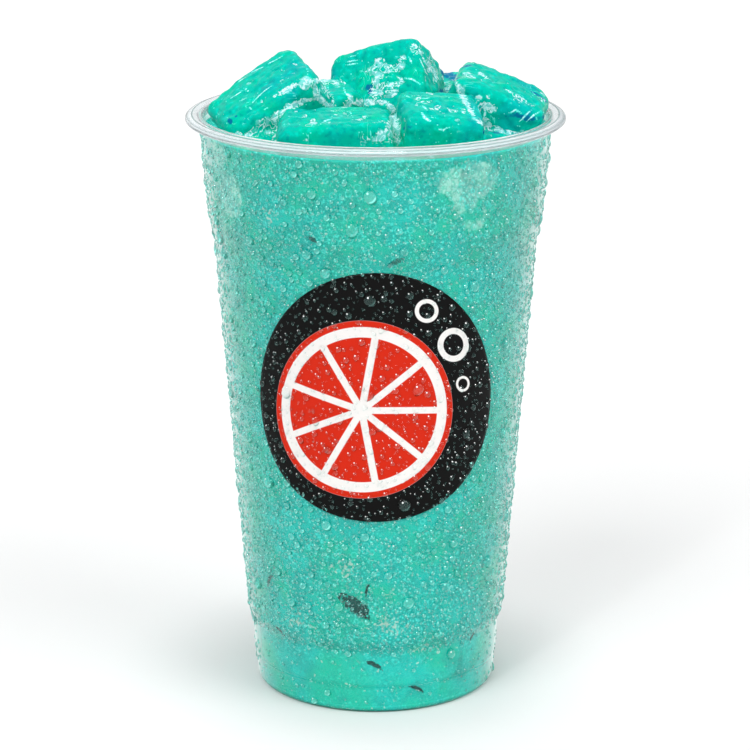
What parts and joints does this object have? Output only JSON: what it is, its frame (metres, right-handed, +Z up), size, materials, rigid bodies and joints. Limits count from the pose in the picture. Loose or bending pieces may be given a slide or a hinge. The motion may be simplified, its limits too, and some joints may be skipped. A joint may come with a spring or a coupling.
{
  "type": "iced lemonade in a clear plastic cup",
  "caption": "Tall clear plastic cold cup with a rolled rim, full of a turquoise iced drink and heaped with blocks of ice above the rim.",
  "frame": {"origin": "centre of the ring that the cup stands on", "axes": "+Z up along the cup's axis, -Y towards the front, where the round print is"},
  "size_m": [0.0982, 0.0982, 0.1725],
  "materials": {
    "clear_plastic": "clear, smooth, wet with fine condensation on the outside",
    "drink": "cloudy turquoise liquid with ice in it",
    "ice": "wet ice soaked in the drink, with white cracks"
  },
  "bodies": {
    "root": {"cup": "clear_plastic", "drink": "drink", "ice_left": "ice", "ice_middle": "ice", "ice_right": "ice", "ice_front": "ice", "ice_front_right": "ice", "ice_rear_right": "ice", "ice_rear_left": "ice", "ice_rear": "ice", "ice_between": "ice", "ice_low_front_left": "ice", "ice_low_front": "ice", "ice_low_side": "ice"}
  },
  "joints": []
}
